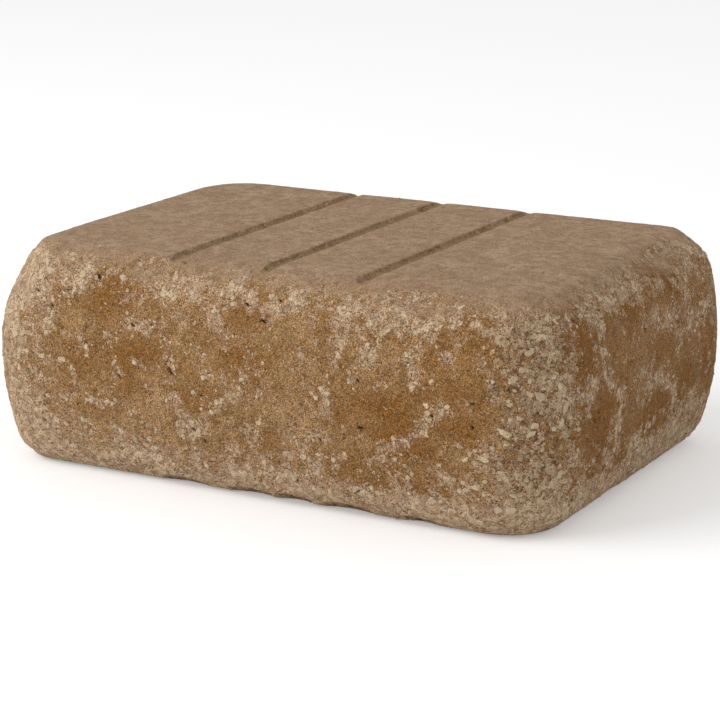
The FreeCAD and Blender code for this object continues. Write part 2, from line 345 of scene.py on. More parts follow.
# Stones that stand out in the photograph: pixel place, length and width in millimetres, turn in degrees
SEEN_STONES = [
    (529, 352, 5.2, 4.2, 20), (513, 380, 5.4, 3.2, 25), (531, 381, 4.4, 3.6, 0),
    (522, 371, 3.6, 3.0, 40), (540, 397, 6.0, 4.2, -35), (543, 388, 3.6, 2.6, 10),
    (554, 377, 3.4, 2.2, 15), (560, 386, 5.2, 2.4, -70), (529, 394, 2.4, 1.8, 0),
    (508, 401, 2.2, 1.8, 0), (510, 405, 2.8, 2.4, 30), (519, 419, 4.4, 2.4, -10),
    (510, 420, 2.4, 2.2, 0), (504, 433, 8.4, 3.2, -35), (535, 427, 4.6, 4.2, 10),
    (531, 434, 5.0, 2.6, 30), (562, 423, 5.0, 2.6, 60), (554, 429, 3.0, 2.4, 0),
    (566, 408, 7.0, 3.0, 75), (447, 407, 3.8, 2.6, 0), (475, 451, 3.0, 2.2, 0),
    (465, 460, 4.6, 2.2, 25), (484, 460, 4.4, 2.6, -8), (506, 445, 2.4, 1.8, 0),
    (503, 476, 7.0, 2.4, -50), (463, 483, 2.6, 2.4, 20), (431, 381, 3.2, 2.0, 20),
    (416, 383, 2.8, 1.8, -10), (437, 329, 3.0, 1.8, 10), (608, 300, 5.0, 3.8, 15),
    (590, 296, 3.4, 2.6, 0), (577, 306, 3.0, 2.4, 30), (566, 318, 4.4, 2.6, 80),
    (547, 319, 3.4, 2.2, -60), (604, 325, 2.8, 2.0, 20), (579, 508, 3.6, 2.4, 20),
    (498, 511, 5.0, 4.0, 20), (512, 511, 5.6, 3.4, 10), (453, 511, 5.0, 2.4, -10),
    (560, 475, 4.4, 3.0, 60), (520, 500, 5.6, 3.0, 0),
]
# Small dark holes in the front, by pixel place, with their length in millimetres
SEEN_HOLES = [
    (119, 377, 2.6), (263, 322, 3.0), (169, 369, 2.2), (200, 396, 2.0), (133, 325, 2.6),
    (247, 304, 2.8), (222, 411, 2.4), (204, 441, 2.8), (86, 343, 1.8), (52, 306, 2.6),
    (38, 290, 2.4), (171, 373, 2.0), (432, 417, 2.0), (360, 428, 2.2), (301, 405, 1.8),
    (472, 428, 2.2), (357, 380, 2.0), (320, 440, 2.0), (46, 421, 2.8), (185, 262, 2.4),
    (572, 500, 3.0), (280, 300, 2.0), (408, 455, 1.8), (151, 326, 2.0), (96, 390, 1.6),
]

# Tones as screen colours out of 255: one, or the two ends of a mottled tone
SCREEN_WHITE = 255.0
SCREEN_GAMMA = 2.2
TONES = {
    "ochre": [(137, 104, 65), (155, 122, 85)],
    "ochre_tan": [(168, 136, 101)],
    "ochre_brown": [(118, 84, 46)],
    "wash": [(172, 141, 107)],
    "stain": [(128, 87, 40)],
    "bare": [(156, 126, 99), (178, 150, 125)],
    "bare_shoulder": [(179, 153, 129)],
    "bare_corner": [(108, 79, 51), (140, 112, 82)],
    "flake": [(176, 149, 122), (210, 188, 158)],
    "crumb": [(170, 141, 114), (202, 176, 146)],
    # painted shadow in the ring round each flake and crumb
    "flake_painted_shadow": [(108, 79, 50)],
    "grain": [(204, 180, 148), (178, 148, 120)],
    "pebble": [(204, 182, 146), (172, 146, 118)],
    "spot": [(86, 54, 28), (120, 80, 44)],
    "top": [(156, 129, 102), (168, 142, 117)],
    "top_dark": [(144, 117, 92)],
    "top_grain": [(178, 151, 126)],
    "top_spot": [(108, 82, 58)],
    # darker olive in the grooves: partly the grooves' own dirt, partly painted shade in the recess
    "groove": [(148, 123, 88), (159, 134, 99)],
    # painted shade inside the small holes
    "hole": [(62, 44, 28)],
    "stone": [(208, 187, 154), (184, 159, 130)],
    "stone_dark": [(146, 120, 94)],
    "stone_stain": [(160, 132, 102)],
}
# Where a value counts: from, to, and what it gives there if that isn't 0 and 1
RANGES = {
    "ochre": (0.38, 0.62),
    "ochre_tan": (0.46, 0.70, 0.0, 0.75),
    "ochre_brown": (0.46, 0.28, 0.0, 0.70),
    "wash": (0.0, -1.0, 0.0, 0.85),
    "stain": (0.0, 1.0),
    "stain_mottle": (0.30, 0.60, 0.6, 1.0),
    "bare": (0.38, 0.62),
    "bare_corner": (0.35, 0.65),
    "middle_push": (0.0, 1.0, -1.3, 1.3),
    "fine_push": (0.0, 1.0, -2.0, 2.0),
    "film": (-0.60, 0.45),
    "flake": (0.2, 0.8),
    "flake_luck": (0.0, 1.0, -0.95, 0.95),
    "flake_width": (-1.3, 0.30, 0.72, -0.10),
    "flake_corner": (0.0, 1.0, 0.80, 0.46),
    "crumb": (0.2, 0.8),
    "crumb_luck": (0.0, 1.0, -1.40, 1.40),
    "crumb_width": (-1.5, 0.60, 0.72, -0.10),
    "crumb_corner": (0.0, 1.0, 0.62, 0.38),
    "inside": (0.05, -0.05),
    # the ring of painted shadow just outside a flake
    "beside": (0.26, 0.06),
    "grain_film": (0.0, 1.0, 0.45, 0.10),
    "pebble_film": (0.0, 1.0, 0.30, 0.0),
    "top": (0.35, 0.65),
    "top_dark": (0.36, 0.60),
    "groove": (0.35, 0.65),
    "grit": (0.32, 0.68),
    "calm_top": (0.0, 1.0, 1.0, 0.50),
    "calm_flake": (0.0, 1.0, 1.0, 0.55),
    "hole": (0.45, 0.75),
    "roughness": (0.3, 0.7, 0.86, 0.96),
    "stone": (0.0, 0.5),
    "stone_dark": (0.5, 1.0),
    "stone_stain": (0.45, 0.72, 0.0, 0.5),
    "stone_grit": (0.3, 0.7),
    "stone_roughness": (0.3, 0.7, 0.72, 0.9),
    "sky": (0.0, 1.0, SKY_LIGHT, SKY_SEEN),
}
# How strongly each layer shows
SHARES = {
    "fine_push": 0.4,
    "shoulder": 0.7,
    "corner": 0.85,
    # how strongly the painted shadow round crumbs and flakes shows
    "crumb_rims": 0.7,
    "rims": 0.55,
    "pebbles": 0.45,
    "spots": 0.55,
    "top_grain": 0.22,
    "top_spot": 0.28,
    "groove": 0.80,
    "hole": 0.80,
}
# How far each layer rises in the fine relief
RISES = {"grit": 0.12, "fine": 0.45, "dark": -0.20, "large": 0.10, "flake": 0.12}
# Darkest and lightest factors that grain puts on the colour
GRIT_SHADES = ((0.46, 0.44, 0.42, 1.0), (1.54, 1.53, 1.50, 1.0))
SAND_SHADES = ((0.50, 0.48, 0.45, 1.0), (1.50, 1.49, 1.46, 1.0))
CELL_SHADES = ((0.95, 0.94, 0.93, 1.0), (1.05, 1.05, 1.04, 1.0))
STONE_SHADES = ((0.8, 0.8, 0.8, 1.0), (1.14, 1.14, 1.14, 1.0))
# Noises in the materials: size in millimetres, detail and roughness
BROAD_MOTTLE = (17.0, 2.0)
MIDDLE_MOTTLE = (5.0, 3.0, 0.62)
FINE_MOTTLE = (1.9, 3.0, 0.75)
GRIT_MOTTLE = (0.36, 1.0, 0.6)
STONE_MOTTLE = (2.4, 3.0, 0.6)
STONE_GRIT = (0.7, 1.0)
DETAIL = 2.0
ROUGHNESS = 0.55
SHIFT_ROUGHNESS = 0.5
HALF = (0.5, 0.5, 0.5)
# Shifts that make edges ragged: size and reach in millimetres, and detail
RAGGED_SHIFT = (1.5, 1.2)
LOOSE_SHIFT = (3.2, 2.6, 3.0)
# Cells in millimetres, and the share of the cells that hold a grain
FLAKE_CELLS = {"flake": 2.6, "crumb": 1.5}
GRAIN_CELLS = {"small": (0.9, 0.12), "large": (2.4, 0.16), "dark": (0.70, 0.10)}
SAND_CELL = 0.42
# Shine, bump strength and bump height in metres
CONCRETE_FINISH = (0.25, 1.0, 0.0010)
STONE_FINISH = (0.3, 0.6, 0.0004)
# Numbers of the sockets of a colour mix: share, first and second colour, result
MIX_INPUTS = (0, 6, 7)
MIX_RESULT = 2
# Fields that the material reads from the mesh
STORED_FIELDS = ("skin", "stain", "stony", "crown", "corner", "shoulder", "groove")


def ease(value, low, high):
    """0 below low, 1 above high and a smooth step between."""
    share = np.clip((value - low) / (high - low), 0.0, 1.0)
    return share * share * (3.0 - 2.0 * share)


def ease_from(start, value, edge):
    """The same between two distances from start."""
    return ease(value, start + edge[0], start + edge[1])


def picked(dice, weight, count):
    return dice.choice(len(weight), count, replace=False, p=weight / weight.sum())


def lattice(cells, seed):
    """A repeatable random gradient at each whole-number cell."""
    x, y, z = [cells[:, axis].astype(np.uint64) * np.uint64(HASH_AXES[axis]) for axis in range(3)]
    mixed = (x ^ y ^ z ^ np.uint64(seed * HASH_SEED)) * np.uint64(HASH_FIRST)
    mixed ^= mixed >> np.uint64(HASH_SHIFTS[0])
    mixed *= np.uint64(HASH_SECOND)
    mixed ^= mixed >> np.uint64(HASH_SHIFTS[1])
    count = 2 ** HASH_BITS
    low_bits = (mixed & np.uint64(count - 1)).astype(float)
    next_bits = ((mixed >> np.uint64(HASH_BITS)) & np.uint64(count - 1)).astype(float)
    angle = low_bits * (2 * math.pi / count)
    height = next_bits * (2.0 / count) - 1.0
    level = np.sqrt(np.maximum(0.0, 1.0 - height * height))
    return np.stack([level * np.cos(angle), level * np.sin(angle), height], axis=1)


def ripple(points, size, seed):
    """Gradient noise about 0, with features of the given size and a spread of about 1."""
    spot = points / size + NOISE_START + seed * NOISE_STRIDE
    base = np.floor(spot)
    part = spot - base
    fade = part * part * part * (part * (part * 6.0 - 15.0) + 10.0)
    total = np.zeros(len(points))
    for corner in range(8):
        offset = np.array([corner & 1, (corner >> 1) & 1, (corner >> 2) & 1], float)
        gradient = lattice(base + offset, seed)
        weight = np.prod(np.where(offset > 0, fade, 1.0 - fade), axis=1)
        total += weight * np.sum(gradient * (part - offset), axis=1)
    return total * NOISE_SPREAD


def layers(points, size, seed, count=3, fall=0.55):
    """Noise summed over ever finer sizes."""
    total = np.zeros(len(points))
    strength = 1.0
    whole = 0.0
    for step in range(count):
        total += strength * ripple(points, size / 2.0 ** step, seed + step)
        whole += strength * strength
        strength *= fall
    return total / math.sqrt(whole)


def read_all(items, name, width, kind):
    flat = np.empty(len(items) * width, kind)
    items.foreach_get(name, flat)
    return flat.reshape(-1, width)


def read_points(mesh):
    return read_all(mesh.vertices, "co", 3, np.float32).astype(float) / MM


def read_normals(mesh):
    return read_all(mesh.vertex_normals, "vector", 3, np.float32).astype(float)


def read_edges(mesh):
    return read_all(mesh.edges, "vertices", 2, np.int32)


def write_points(mesh, points):
    mesh.vertices.foreach_set("co", (points * MM).astype(np.float32).ravel())
    mesh.update()


def with_neighbours(start, values, edges):
    """Start, with the values of each point's neighbours added."""
    sums = start.copy()
    for axis in range(3):
        column = values[:, axis]
        sums[:, axis] += np.bincount(edges[:, 0], column[edges[:, 1]], len(values))
        sums[:, axis] += np.bincount(edges[:, 1], column[edges[:, 0]], len(values))
    return sums


def smoothed(points, edges, passes):
    count = np.bincount(edges.ravel(), minlength=len(points))
    for _ in range(passes):
        middle = with_neighbours(np.zeros_like(points), points, edges) / count[:, None]
        points = points + (middle - points) * SMOOTH_SHARE
    return points


def broad_normals(mesh):
    """Normals averaged over neighbours, so that small dents don't change what a face is."""
    normals = read_normals(mesh)
    edges = read_edges(mesh)
    for _ in range(BROAD_PASSES):
        sums = with_neighbours(normals, normals, edges)
        normals = sums / np.linalg.norm(sums, axis=1)[:, None]
    return normals


def surface_tree(mesh):
    corners = [vertex.co for vertex in mesh.vertices]
    return BVHTree.FromPolygons(corners, [tuple(face.vertices) for face in mesh.polygons])


def point_tree(points):
    tree = KDTree(len(points))
    for index, point in enumerate(points):
        tree.insert(Vector(point), index)
    tree.balance()
    return tree


def put_object(name, data):
    thing = bpy.data.objects.new(name, data)
    bpy.context.scene.collection.objects.link(thing)
    return thing


def applied(thing):
    """The object's mesh, with its modifiers applied for good."""
    bpy.context.view_layer.update()
    graph = bpy.context.evaluated_depsgraph_get()
    mesh = bpy.data.meshes.new_from_object(thing.evaluated_get(graph))
    thing.modifiers.clear()
    old = thing.data
    thing.data = mesh
    bpy.data.meshes.remove(old)
    return mesh


def even_shell():
    """A fine even mesh over the CAD solid, eased a little and rubbed round at the worn corner."""
    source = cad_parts[NODE]
    shell = put_object("wall_block_stone", source.data.copy())
    remesh = shell.modifiers.new("even", "REMESH")
    remesh.mode = "VOXEL"
    remesh.voxel_size = VOXEL * MM
    mesh = applied(shell)
    tree = surface_tree(source.data)
    points = read_points(mesh)
    snapped = np.array([tree.find_nearest(Vector(point * MM))[0] for point in points]) / MM
    edges = read_edges(mesh)
    even = smoothed(snapped, edges, SMOOTH_PASSES)
    rubbed = smoothed(even, edges, RUB_PASSES)
    near = np.linalg.norm(even - WORN_CORNER, axis=1)
    share = ease(-near, -RUB_REACH, -RUB_FADE * RUB_REACH)
    write_points(mesh, even + (rubbed - even) * share[:, None])
    return shell


def thin_shell(shell):
    triangles = sum(len(face.vertices) - 2 for face in shell.data.polygons)
    decimate = shell.modifiers.new("thin", "DECIMATE")
    decimate.ratio = min(1.0, SHELL_TRIANGLES / triangles)
    decimate.use_collapse_triangulate = True
    return applied(shell)


def segment_distance(u, v, start, end):
    du, dv = end[0] - start[0], end[1] - start[1]
    along = ((u - start[0]) * du + (v - start[1]) * dv) / (du * du + dv * dv)
    along = np.clip(along, 0.0, 1.0)
    return np.hypot(u - start[0] - along * du, v - start[1] - along * dv)


def vein_depth(u, v, veins):
    """1 on the line of a vein, fading to 0 beyond its width."""
    depth = np.zeros(len(u))
    for width, path in veins:
        for start, end in zip(path, path[1:]):
            reach = segment_distance(u, v, start, end) / width
            depth = np.maximum(depth, np.exp(-VEIN_FADE * reach * reach))
    return depth


def stain_depth(u, v, stains):
    """The same for stains, with their own strengths."""
    depth = np.zeros(len(u))
    for across, up, half_width, half_height, strength in stains:
        reach = ((u - across) / half_width) ** 2 + ((v - up) / half_height) ** 2
        depth = np.maximum(depth, strength * np.exp(-STAIN_FADE * reach))
    return depth


def random_veins(seed, half_run, count):
    """Veins for a side that the photograph doesn't show."""
    dice = default_rng(seed)
    low, high = VEIN_HEIGHTS
    veins = []
    for _ in range(count):
        spot = np.array([dice.uniform(-half_run, half_run), dice.uniform(low, BLOCK_TOP + high)])
        heading = dice.uniform(0, 2 * math.pi)
        path = [tuple(spot)]
        for _ in range(dice.integers(*VEIN_PARTS)):
            heading += dice.normal(0, VEIN_BEND)
            step = dice.uniform(*VEIN_STEP)
            spot = spot + step * np.array([math.cos(heading), math.sin(heading)])
            path.append(tuple(spot))
        veins.append((dice.uniform(*VEIN_WIDTH), path))
    return veins


def random_stains(seed, half_run, count):
    dice = default_rng(seed)
    low, high = STAIN_HEIGHTS
    ranges = [(-half_run, half_run), (low, BLOCK_TOP + high), STAIN_WIDTH, STAIN_HEIGHT, STAIN_STRENGTH]
    return [tuple(dice.uniform(*limits) for limits in ranges) for _ in range(count)]


BACK_VEINS = random_veins(SEED + 1, HALF_LENGTH - VEIN_INSET, BACK_VEIN_COUNT)
LEFT_VEINS = random_veins(SEED + 2, HALF_DEPTH - VEIN_INSET, LEFT_VEIN_COUNT)
BACK_STAINS = random_stains(SEED + 3, HALF_LENGTH - STAIN_INSET, BACK_STAIN_COUNT)
LEFT_STAINS = random_stains(SEED + 4, HALF_DEPTH - STAIN_INSET, LEFT_STAIN_COUNT)


def side_shares(normals):
    """Shares of the front, back, right and left."""
    x, y = normals[:, 0], normals[:, 1]
    return [ease(toward, *SIDE_EDGE) for toward in (-y, y, x, -x)]


def side_marks(points, sides):
    """How deep each point is in a vein, a stain and a wash."""
    warp = np.stack([layers(points, *noise) for noise in WARP_NOISES], axis=1)
    x, y, z = (points + warp * WARP_REACH).T
    front, back, right, left = sides
    vein = np.zeros(len(points))
    stain = np.zeros(len(points))
    for share, run, veins, stains in (
        (front, x, FRONT_VEINS, FRONT_STAINS),
        (right, y, RIGHT_VEINS, RIGHT_STAINS),
        (back, x, BACK_VEINS, BACK_STAINS),
        (left, y, LEFT_VEINS, LEFT_STAINS),
    ):
        vein = np.maximum(vein, share * vein_depth(run, z, veins))
        stain = np.maximum(stain, share * stain_depth(run, z, stains))
    return vein, stain, front * stain_depth(x, z, FRONT_WASHES)


def form_fields(points, normals, speck, broad):
    """What part of the block each point is on, as shares."""
    flat_x, flat_y = np.abs(normals[:, 0]), np.abs(normals[:, 1])
    height = points[:, 2]
    crown = ease(normals[:, 2] + TOP_STIR * speck, *CROWN_EDGE)
    bed = ease(-normals[:, 2], *BED_EDGE)
    shoulder = ease(normals[:, 2] + TOP_STIR * broad, *SHOULDER_EDGE)
    corner = ease(np.minimum(flat_x, flat_y) + CORNER_STIR * broad, *CORNER_EDGE)
    corner *= ease(np.hypot(normals[:, 0], normals[:, 1]), *UPRIGHT_EDGE)
    front_right = corner * (normals[:, 0] > 0) * (normals[:, 1] < 0)
    low = ease(-height - LOW_STIR * broad, *LOW_EDGE)
    stony = front_right + corner * STONY_CORNER + low * STONY_LOW + shoulder * STONY_SHOULDER * (1 - crown)
    stony = np.clip(stony, 0, 1) * (1 - bed)
    return {
        "crown": crown,
        "bed": bed,
        "side": (1 - crown) * (1 - bed),
        "shoulder": shoulder,
        "rim": ease(1.0 - np.max(np.abs(normals), axis=1), *RIM_EDGE),
        "low": low,
        "worn": stony,
        "stony": np.clip(stony * (1 + STONY_SPECK * speck), 0, 1),
        "corner": np.clip(front_right * (1 + CORNER_SPECK * speck) * ease(height, *CORNER_RISE), 0, 1),
        "groove": groove_share(points),
    }


def skin_depth(points, form, sides, vein, stain, speck, broad):
    """How much ochre skin is left; below 0 it is worn through."""
    small = layers(points, *SMALL_NOISE)
    front, _, right, left = sides
    skin = SKIN_LEVEL + SKIN_SPECK * speck + SKIN_SMALL * small + SKIN_BROAD * broad + SKIN_STAIN * stain
    ragged = THIN_VEIN_LEAST + (1 - THIN_VEIN_LEAST) * ease(small, *THIN_VEIN_EDGE)
    skin -= THIN_VEIN * vein * ragged
    thin = THIN_STONY * form["worn"] + THIN_SHOULDER * form["shoulder"] + THIN_RIGHT * right
    # thinner skin, so paler colour, towards the bottom: partly wear, partly painted light from the floor
    skin -= thin + THIN_LOW_WEAR_AND_PAINTED_BOUNCE * form["low"] + ease(-points[:, 2], *FOOT_WEAR_AND_PAINTED_BOUNCE_EDGE)
    end_left = ease_from(HALF_LENGTH, -points[:, 0] + LEFT_STIR * broad, LEFT_END)
    end_left *= np.maximum(front, left * LEFT_SIDE_SHARE)
    return np.clip(skin - THIN_LEFT * end_left, -SKIN_LIMIT, SKIN_LIMIT)


def surface_fields(points, normals):
    """What the surface is like at each point, for shape and colour alike."""
    speck = layers(points, *SPECK_NOISE)
    broad = layers(points, *BROAD_NOISE)
    sides = side_shares(normals)
    _, _, right, _ = sides
    vein, stain, wash = side_marks(points, sides)
    field = form_fields(points, normals, speck, broad)
    field["skin"] = skin_depth(points, field, sides, vein, stain, speck, broad)
    stain = np.clip(stain + STAIN_STIR * layers(points, *STAIN_NOISE), 0, 1)
    field["stain"] = stain + (STAIN_RIGHT * right - wash)
    return field


def beside_groove(points):
    lines = (np.arange(GROOVE_COUNT) - (GROOVE_COUNT - 1) / 2.0) * GROOVE_PITCH
    return np.min(np.abs(points[:, :1] - lines), axis=1)


def groove_share(points):
    """1 in the grooves of the top, 0 elsewhere."""
    outer, inner = GROOVE_EDGE
    share = ease(-beside_groove(points), GROOVE_MOUTH * outer, GROOVE_MOUTH * inner)
    return share * ease_from(BLOCK_TOP, points[:, 2], GROOVE_RISE)


def lip_share(points):
    """1 on the grooves' lips near the back, 0 elsewhere."""
    beside = beside_groove(points)
    share = ease(-beside, *LIP_REACH) * ease(beside, *LIP_INNER)
    return share * ease_from(HALF_DEPTH, points[:, 1], LIP_RUN)


def shape_shell(shell):
    """Wears the shell inwards."""
    mesh = shell.data
    points = read_points(mesh)
    normals = read_normals(mesh)
    field = surface_fields(points, normals)
    depth = wear_depths(points, field)
    depth += pit_depths(points, field)
    depth = np.maximum(depth, LEAST_WEAR)
    depth *= 1.0 - BED_SHELTER * field["bed"]
    write_points(mesh, points - normals * depth[:, None])


def wear_depths(points, field):
    crown, side = field["crown"], field["side"]
    wave = WAVE_MIDDLE + WAVE_SWING * layers(points, *WAVE_NOISE)
    lump = np.abs(layers(points, *LUMP_NOISE))
    chip = np.maximum(0.0, layers(points, *CHIP_NOISE) - CHIP_START)
    grain = layers(points, *GRAIN_NOISE)
    sand = ripple(points, *SAND_NOISE)
    bare = 1.0 - ease(field["skin"], *BARE_EDGE)
    depth = EVEN_WEAR + WAVE_SIDE * wave * side + WAVE_TOP * wave * crown
    depth += side * (LUMP_WEAR * lump + BARE_WEAR * bare)
    depth += field["rim"] * (RIM_WEAR + CHIP_WEAR * chip)
    depth += field["stony"] * STONY_WEAR + LIP_WEAR * lip_share(points) * crown
    depth += (GRAIN_WEAR + GRAIN_SIDE * side + GRAIN_SIDE * bare * side) * (grain + 1.0)
    depth += (SAND_WEAR + SAND_SIDE * side) * (sand + 1.0)
    return depth


def pit_depths(points, field):
    dice = default_rng(PIT_SEED)
    weight = field["side"] * (PIT_SIDE + PIT_STONY * field["stony"]) + PIT_TOP * field["crown"]
    chosen = picked(dice, weight, PIT_COUNT)
    tree = point_tree(points)
    total = np.zeros(len(points))
    for spot in points[chosen]:
        radius, depth = dice.uniform(*PIT_RADIUS), dice.uniform(*PIT_DEPTH)
        for _, index, distance in tree.find_range(Vector(spot), radius):
            total[index] = max(total[index], depth * (1.0 - (distance / radius) ** 2))
    return total


def camera_ray(column, row):
    """The direction from the camera through a pixel."""
    focal = FOCAL_LENGTH / SENSOR_WIDTH * IMAGE_SIDE
    turn = Matrix.Rotation(CAMERA_YAW, 3, "Z") @ Matrix.Rotation(math.pi / 2 - CAMERA_DIP, 3, "X")
    half = IMAGE_SIDE / 2
    return (turn @ Vector(((column - half) / focal, (half - row) / focal, -1.0))).normalized()


def along_picture(normal, degrees):
    """A direction in the surface, turned from the picture's own right."""
    flat = (EYE_RIGHT - normal * EYE_RIGHT.dot(normal)).normalized()
    return Matrix.Rotation(math.radians(degrees), 3, normal) @ flat


def along_any(normal, dice):
    """A random direction in the surface."""
    return Matrix.Rotation(dice.uniform(0, math.pi), 3, normal) @ normal.orthogonal().normalized()


def hole_list(points, normals, field, tree):
    """The holes seen in the photograph, and more at random."""
    dice = default_rng(HOLE_SEED)
    holes = []
    for column, row, length in SEEN_HOLES:
        place, normal, _, _ = tree.ray_cast(EYE, camera_ray(column, row))
        if place is not None:
            along = along_picture(normal, dice.normal(*HOLE_TURN))
            sizes = (length / 2, length * SEEN_HOLE_SLIMNESS, SEEN_HOLE_DEPTH)
            holes.append(Hole(np.array(place) / MM, np.array(normal), np.array(along), *sizes))
    weight = field["side"] * np.where(normals[:, 1] < HOLE_FRONT, HOLE_FRONT_SHARE, 1.0)
    weight *= points[:, 2] < BLOCK_TOP - HOLE_TOP_GAP
    for index in picked(dice, weight, HOLE_COUNT):
        normal = Vector(normals[index])
        along = along_any(normal, dice)
        length = dice.uniform(*HOLE_LENGTH)
        sizes = (length / 2, length * dice.uniform(*HOLE_SLIMNESS), dice.uniform(*HOLE_DEPTH))
        holes.append(Hole(points[index], np.array(normal), np.array(along), *sizes))
    return holes


def refine_around(mesh, holes):
    """Cuts the triangles round each hole finer."""
    bm = bmesh.new()
    bm.from_mesh(mesh)
    bm.verts.ensure_lookup_table()
    tree = point_tree([vertex.co for vertex in bm.verts])
    edges = {}
    for hole in holes:
        reach = (hole.half_length + HOLE_MARGIN) * MM
        for _, index, _ in tree.find_range(Vector(hole.place * MM), reach):
            edges.update(dict.fromkeys(bm.verts[index].link_edges))
    bmesh.ops.subdivide_edges(bm, edges=list(edges), cuts=HOLE_CUTS, use_grid_fill=True)
    bmesh.ops.triangulate(bm, faces=[face for face in bm.faces if len(face.verts) > 3])
    bm.to_mesh(mesh)
    bm.free()


def sink_holes(mesh, holes):
    """Pushes the holes in, and returns how far inside one each point is."""
    points = read_points(mesh)
    tree = point_tree(points)
    pit = np.zeros(len(points))
    moved = points.copy()
    for hole in holes:
        across = np.cross(hole.normal, hole.along)
        for _, index, _ in tree.find_range(Vector(hole.place), hole.half_length + HOLE_MARGIN):
            away = points[index] - hole.place
            reach = math.hypot(away @ hole.along / hole.half_length, away @ across / hole.half_width)
            inside = float(ease(-reach, *HOLE_EDGE))
            pit[index] = max(pit[index], inside)
            moved[index] = moved[index] - hole.normal * hole.depth * inside
    write_points(mesh, moved)
    return pit


def store(mesh, name, values):
    layer = mesh.attributes.new(name, "FLOAT", "POINT")
    layer.data.foreach_set("value", np.asarray(values, np.float32))


def store_fields(mesh):
    """Stores what the material reads, and returns every field."""
    field = surface_fields(read_points(mesh), broad_normals(mesh))
    for name in STORED_FIELDS:
        store(mesh, name, field[name])
    return field


def tones(name):
    """The named screen colours as the linear colours that nodes take."""
    parts = np.array(TONES[name]) / SCREEN_WHITE
    return [(*colour, 1.0) for colour in (parts ** SCREEN_GAMMA).tolist()]


class Graph:
    """Short ways to add and join the nodes of one material."""

    def __init__(self, tree):
        self.tree = tree
        tree.nodes.clear()

    def add(self, kind, inputs=None, **settings):
        """A shader node, its inputs set to values or linked from other nodes."""
        node = self.tree.nodes.new("ShaderNode" + kind)
        for name, value in settings.items():
            setattr(node, name, value)
        for socket, value in (inputs or {}).items():
            if isinstance(value, bpy.types.NodeSocket):
                self.tree.links.new(value, node.inputs[socket])
            else:
                node.inputs[socket].default_value = value
        return node

    def calc(self, operation, first, second):
        return self.add("Math", {0: first, 1: second}, operation=operation).outputs[0]

    def times(self, first, second):
        return self.calc("MULTIPLY", first, second)

    def plus(self, first, second):
        return self.calc("ADD", first, second)

    def vector(self, operation, inputs):
        return self.add("VectorMath", inputs, operation=operation).outputs[0]

    def ranged(self, value, name, kind):
        low, high, start, end = (RANGES[name] + (0.0, 1.0))[:4]
        inputs = {"Value": value, "From Min": low, "From Max": high, "To Min": start, "To Max": end}
        return self.add("MapRange", inputs, interpolation_type=kind).outputs["Result"]

    def step(self, value, name):
        """The value over a named range, along a smooth step."""
        return self.ranged(value, name, "SMOOTHSTEP")

    def ramp(self, value, name):
        """The same along a straight line."""
        return self.ranged(value, name, "LINEAR")

    def blend(self, share, first, second, mode="MIX"):
        inputs = dict(zip(MIX_INPUTS, (share, first, second)))
        return self.add("Mix", inputs, data_type="RGBA", blend_type=mode).outputs[MIX_RESULT]

    def mottled(self, value, name):
        """Two named tones, mixed by the value."""
        return self.blend(self.step(value, name), *tones(name))

    def coat(self, colour, share, name):
        """The colour with a share of one named tone over it."""
        return self.blend(share, colour, *tones(name))

    def noise(self, where, size, detail=DETAIL, roughness=ROUGHNESS, output="Fac"):
        inputs = {"Vector": where, "Scale": 1.0 / size, "Detail": detail, "Roughness": roughness}
        return self.add("TexNoise", inputs).outputs[output]

    def cells(self, where, size):
        """The distance to the nearest cell's middle, and three random numbers of that cell."""
        cell = self.add("TexVoronoi", {"Vector": where, "Scale": 1.0 / size})
        split = self.add("SeparateColor", {0: cell.outputs["Color"]})
        return [cell.outputs["Distance"], *split.outputs]

    def attribute(self, name):
        return self.add("Attribute", attribute_type="GEOMETRY", attribute_name=name).outputs["Fac"]

    def place(self):
        """The place on the object, in millimetres."""
        spot = self.add("TexCoord").outputs["Object"]
        return self.vector("SCALE", {0: spot, "Scale": 1.0 / MM})

    def shifted(self, where, size, reach, detail=DETAIL):
        """The place moved about by noise, for ragged edges."""
        colour = self.noise(where, size, detail, SHIFT_ROUGHNESS, "Color")
        centred = self.vector("SUBTRACT", {0: colour, 1: HALF})
        return self.vector("ADD", {0: where, 1: self.vector("SCALE", {0: centred, "Scale": reach})})

    def seen_directly(self):
        """Above 0 for what the camera sees, also mirrored or through glass, 0 for light on the block."""
        path = self.add("LightPath").outputs
        seen = self.plus(path["Is Camera Ray"], path["Is Glossy Ray"])
        return self.plus(seen, path["Is Transmission Ray"])

    def end(self, colour, roughness, height, finish):
        """The shader, its bump and the output."""
        shine, strength, distance = finish
        bump = self.add("Bump", {"Strength": strength, "Distance": distance, "Height": height})
        inputs = {"Base Color": colour, "Roughness": roughness, "Specular IOR Level": shine}
        inputs["Normal"] = bump.outputs[0]
        shader = self.add("BsdfPrincipled", inputs)
        self.add("OutputMaterial", {"Surface": shader.outputs[0]})


def new_material(name):
    material = bpy.data.materials.new(name)
    material.use_nodes = True
    return material, Graph(material.node_tree)


def concrete_inputs(g):
    """What the layers of the concrete share."""
    where = g.place()
    ragged = g.shifted(where, *RAGGED_SHIFT)
    stored = {name: g.attribute(name) for name in STORED_FIELDS}
    return SimpleNamespace(
        where=where,
        ragged=ragged,
        loose=g.shifted(where, *LOOSE_SHIFT),
        broad=g.noise(where, *BROAD_MOTTLE),
        middle=g.noise(where, *MIDDLE_MOTTLE),
        fine=g.noise(ragged, *FINE_MOTTLE),
        grit=g.noise(where, *GRIT_MOTTLE),
        **stored,
    )


def ochre_skin(g, s):
    ochre = g.mottled(s.broad, "ochre")
    ochre = g.coat(ochre, g.step(s.middle, "ochre_tan"), "ochre_tan")
    ochre = g.coat(ochre, g.step(s.middle, "ochre_brown"), "ochre_brown")
    ochre = g.coat(ochre, g.ramp(s.stain, "wash"), "wash")
    deep = g.times(g.ramp(s.stain, "stain"), g.ramp(s.middle, "stain_mottle"))
    return g.coat(ochre, deep, "stain")


